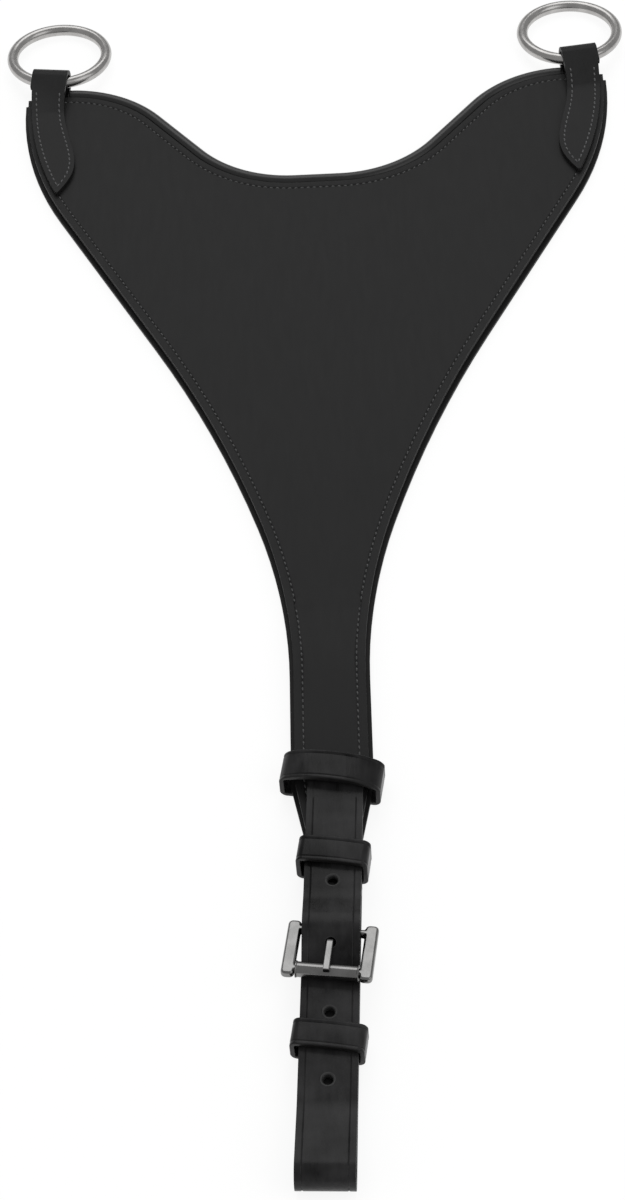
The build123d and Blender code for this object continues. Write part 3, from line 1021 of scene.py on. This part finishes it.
@dataclass
class Keeper:
    """A leather keeper: a band with an arched top and a crease near each edge.

    Turn is its angle to the bib, in degrees. Arch is how far the middle of its top is raised, and
    drop is how far the top's ends are lowered.
    """

    finishes: Finishes
    name: str
    turn: float
    width: float
    arch: float
    drop: float = 0.0
    edge_round: float = 0.5 * MM
    crease_inset: float = 1.5 * MM
    crease_width: float = 0.7 * MM
    crease_depth: float = 0.25 * MM
    spans: int = 10
    outward: float = 0.2  # a normal's share of the way out, above which a point is outside
    edge_slope: float = 0.7

    def build(self) -> None:
        """Build the keeper."""
        low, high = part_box(self.name)
        middle = (low + high) / 2
        place = turned(self.turn, middle)
        piece = Bench.copy(self.name, self.name + "_leather")
        Bench.round_edges(piece, self.edge_round)
        reach = max(abs(place.local(vert.co).x) for vert in piece.data.vertices)

        def outside(vert: BMVert) -> bool:
            """Say whether a point is on the band's outer side."""
            spot = place.local(vert.co)
            way_out = vert.co - place.point(0.0, spot.y)
            return vert.normal.dot(way_out) > self.outward * (vert.co - middle).length

        across = Place(middle, place.along)
        for hand in (-1, 1):
            offset = hand * (self.width / 2 - self.crease_inset)
            Bench.crease(piece, across, offset, self.crease_width, self.crease_depth, outside)
        with Bench.editing(piece):
            for span in range(1, self.spans):
                offset = reach * (2 * span / self.spans - 1)
                bpy.ops.mesh.select_all(action="SELECT")
                bpy.ops.mesh.bisect(plane_co=place.point(offset, 0.0), plane_no=place.across)
            mesh = bmesh.from_edit_mesh(piece.data)
            for vert in mesh.verts:
                spot = place.local(vert.co)
                out = min(1.0, abs(spot.x) / reach)
                rise = self.arch * cos(radians(90) * out) - self.drop * out**4
                vert.co.z += rise * max(0.0, min(1.0, spot.z / (high.z - middle.z)))
            bmesh.update_edit_mesh(piece.data)
        Bench.smooth(piece)

        def cut(face: bpy.types.MeshPolygon) -> int:
            """Return 1 for the band's cut edges, and 0 for the rest."""
            return int(abs(face.normal.dot(place.along)) > self.edge_slope)

        Bench.dress(piece, (self.finishes.strap, self.finishes.edge), cut)
        Bench.finish(piece, self.name, "strap_leather", (self.name,))


@dataclass
class Buckle:
    """The roller buckle: its frame, roller and tongue, with collars beside the roller."""

    finishes: Finishes
    collar_radius: float = 2.55 * MM
    collar_wire: float = 0.42 * MM
    collar_trim: float = 0.25 * MM  # from a collar's middle to where its outer side is cut off
    frame_inside: float = 22 * MM
    frame_grid: float = 0.25 * MM
    frame_rounding: int = 20
    tongue_grid: float = 0.14 * MM
    tongue_rounding: int = 30

    def cast(self, node: str, voxel: float, rounding: int) -> None:
        """Make a frame node again with the soft corners of a casting.

        Args:
            node: The node, which is also its body.
            voxel: The size of the new faces, which run square to the node's broadest face.
            rounding: How many times the corners are softened.
        """
        heel = joint("buckle_frame_lift")
        across = Vector(heel["axis"]).normalized()
        piece = Bench.copy(node, node + "_cast")
        faces = piece.data.polygons
        lengthwise = [face for face in faces if abs(face.normal.dot(across)) < SQUARE]
        broadest = max(lengthwise, key=lambda face: face.area)
        square = Place(Vector(heel["pos_m"]), across, broadest.normal.copy()).matrix()
        piece.data.transform(square.inverted())
        piece.data.remesh_voxel_size = voxel
        bpy.ops.object.voxel_remesh()
        soften = piece.modifiers.new("soften", "SMOOTH")
        soften.factor = 0.5
        soften.iterations = rounding
        bpy.ops.object.modifier_apply(modifier="soften")
        piece.data.transform(square)
        Bench.smooth(piece, ALL_SMOOTH)
        Bench.dress(piece, (self.finishes.buckle,))
        Bench.finish(piece, node, "buckle_metal", (node,))

    def collars(self) -> None:
        """Add the thin collar at each end of the roller."""
        spin = joint("buckle_roller_spin")
        axis = Vector(spin["axis"]).normalized()
        made = []
        for hand in (-1, 1):
            reach = self.frame_inside / 2 - self.collar_wire
            centre = Vector(spin["pos_m"]) + hand * axis * reach
            bpy.ops.mesh.primitive_torus_add(
                major_radius=self.collar_radius, minor_radius=self.collar_wire,
                major_segments=40, minor_segments=10, location=centre,
                rotation=axis.to_track_quat("Z", "Y").to_euler(),
            )
            collar = bpy.context.object
            with Bench.editing(collar):
                bpy.ops.mesh.select_all(action="SELECT")
                bpy.ops.mesh.bisect(
                    plane_co=centre + hand * axis * self.collar_trim, plane_no=hand * axis,
                    clear_outer=True, use_fill=True,
                )
            made.append(Bench.settle(collar))
        both = Bench.join(made, "buckle_roller_collars")
        Bench.smooth(both)
        Bench.dress(both, (self.finishes.buckle,))
        Bench.finish(both, "buckle_frame", "buckle_metal")

    def build(self) -> None:
        """Build the buckle."""
        self.cast("buckle_frame", self.frame_grid, self.frame_rounding)
        self.cast("buckle_tongue", self.tongue_grid, self.tongue_rounding)
        self.collars()
        frame["nodes"]["buckle_roller"].material_slots[0].material = self.finishes.buckle


@dataclass
class ReinRings:
    """The two rein rings."""

    finishes: Finishes

    def build(self) -> None:
        """Dress the rings in satin steel."""
        for node in ("left_ring", "right_ring"):
            frame["nodes"][node].material_slots[0].material = self.finishes.ring


# ------------------------------------------------------------------------------- studio
@dataclass
class Studio:
    """The pale floor, the soft lights and the camera."""

    floor_size: float = 6.0
    floor_gap: float = 0.3 * MM
    floor_colour: Colour = (0.86, 0.86, 0.86)
    floor_glow: float = 1.2
    glow_share: float = 0.72
    room_light: float = 0.5
    camera_at: Triple = (0.0198, -0.6366, 0.7596)
    tilt: float = 37.9
    swing: float = 2.5
    roll: float = -4.35
    lens: float = 75.35

    def white_where_seen(self, kit: NodeKit, share: float) -> Wire:
        """Return share for rays that show the floor directly or in metal, and 0 for the rest."""
        path = kit.node("ShaderNodeLightPath")
        direct, glossy, through = (
            kit.wire(path, f"Is {kind} Ray") for kind in ("Camera", "Glossy", "Transmission")
        )
        return kit.maths("MAXIMUM", kit.maths("MAXIMUM", direct, glossy), through) * share

    def floor(self) -> None:
        """Lay the floor."""
        bpy.ops.mesh.primitive_grid_add(
            x_subdivisions=8, y_subdivisions=8, size=self.floor_size,
            location=(0, 0, -self.floor_gap),
        )
        ground = Bench.settle(bpy.context.object)
        ground.name = "floor"
        kit = NodeKit("pale_floor")
        grey = kit.node("ShaderNodeBsdfDiffuse", None, {"Color": (*self.floor_colour, 1.0)})
        white = kit.node(
            "ShaderNodeEmission", None, {"Color": (1.0, 1.0, 1.0, 1.0), "Strength": self.floor_glow}
        )
        share = self.white_where_seen(kit, self.glow_share)
        sockets = {0: share, 1: kit.wire(grey), 2: kit.wire(white)}
        mixed = kit.wire(kit.node("ShaderNodeMixShader", None, sockets))
        kit.node("ShaderNodeOutputMaterial", None, {"Surface": mixed})
        ground.data.materials.append(kit.material)

    def world(self) -> None:
        """Fill the room with even light."""
        room = bpy.data.worlds.new("room")
        room.use_nodes = True
        bpy.context.scene.world = room
        tree = room.node_tree
        tree.nodes.clear()
        path = tree.nodes.new("ShaderNodeLightPath")
        dim = tree.nodes.new("ShaderNodeBackground")
        dim.inputs["Strength"].default_value = self.room_light
        white = tree.nodes.new("ShaderNodeBackground")
        white.inputs["Color"].default_value = (1.0, 1.0, 1.0, 1.0)
        mixed = tree.nodes.new("ShaderNodeMixShader")
        out = tree.nodes.new("ShaderNodeOutputWorld")
        tree.links.new(path.outputs["Is Camera Ray"], mixed.inputs[0])
        tree.links.new(dim.outputs[0], mixed.inputs[1])
        tree.links.new(white.outputs[0], mixed.inputs[2])
        tree.links.new(mixed.outputs[0], out.inputs["Surface"])

    def lamp(self, name: str, place: Vector, size: float, power: float) -> None:
        """Hang one square lamp that faces the middle of the martingale.

        Args:
            name: The lamp's name.
            place: Where it hangs.
            size: The length of its side.
            power: Its power in watts.
        """
        light = bpy.data.lights.new(name, "AREA")
        light.size = size
        light.energy = power
        lamp = bpy.data.objects.new(name, light)
        lamp.location = place
        lamp.rotation_euler = place.to_track_quat("Z", "Y").to_euler()
        bpy.context.collection.objects.link(lamp)

    def camera(self) -> None:
        """Set up the camera above the girth loop, looking up the bib."""
        camera = bpy.data.cameras.new("camera")
        camera.lens = self.lens
        seat = bpy.data.objects.new("camera", camera)
        swing, tilt, roll = (
            Matrix.Rotation(radians(degrees), 4, axis)
            for degrees, axis in ((self.swing, "Z"), (self.tilt, "X"), (self.roll, "Z"))
        )
        seat.matrix_world = Matrix.Translation(self.camera_at) @ (swing @ tilt) @ roll
        bpy.context.collection.objects.link(seat)
        bpy.context.scene.camera = seat

    def build(self) -> None:
        """Set up the whole studio."""
        self.floor()
        self.world()
        self.lamp("key", Vector((-0.1, 1.5, 1.7)), size=1.5, power=10.0)
        self.lamp("fill", Vector((1.1, -0.5, 1.2)), size=1.2, power=3.5)
        self.camera()
        bpy.context.scene.view_settings.view_transform = "Standard"


def main() -> None:
    """Build the martingale and its studio."""
    logging.basicConfig(level=logging.INFO, format="%(name)s: %(message)s")
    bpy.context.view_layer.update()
    finishes = Finishes.mix()
    Studio().build()
    Bib(finishes).build()
    for side in ("left", "right"):
        RingTab(finishes, side).build()
    GirthStrap(finishes).build()
    Keeper(finishes, "lower_keeper", turn=9.0, width=10 * MM, arch=0.8 * MM).build()
    Keeper(finishes, "middle_keeper", turn=9.0, width=10 * MM, arch=0.9 * MM).build()
    Keeper(
        finishes, "upper_keeper", turn=10.0, width=12 * MM, arch=2.4 * MM, drop=2.2 * MM
    ).build()
    Buckle(finishes).build()
    ReinRings(finishes).build()


if __name__ == "__main__":
    main()
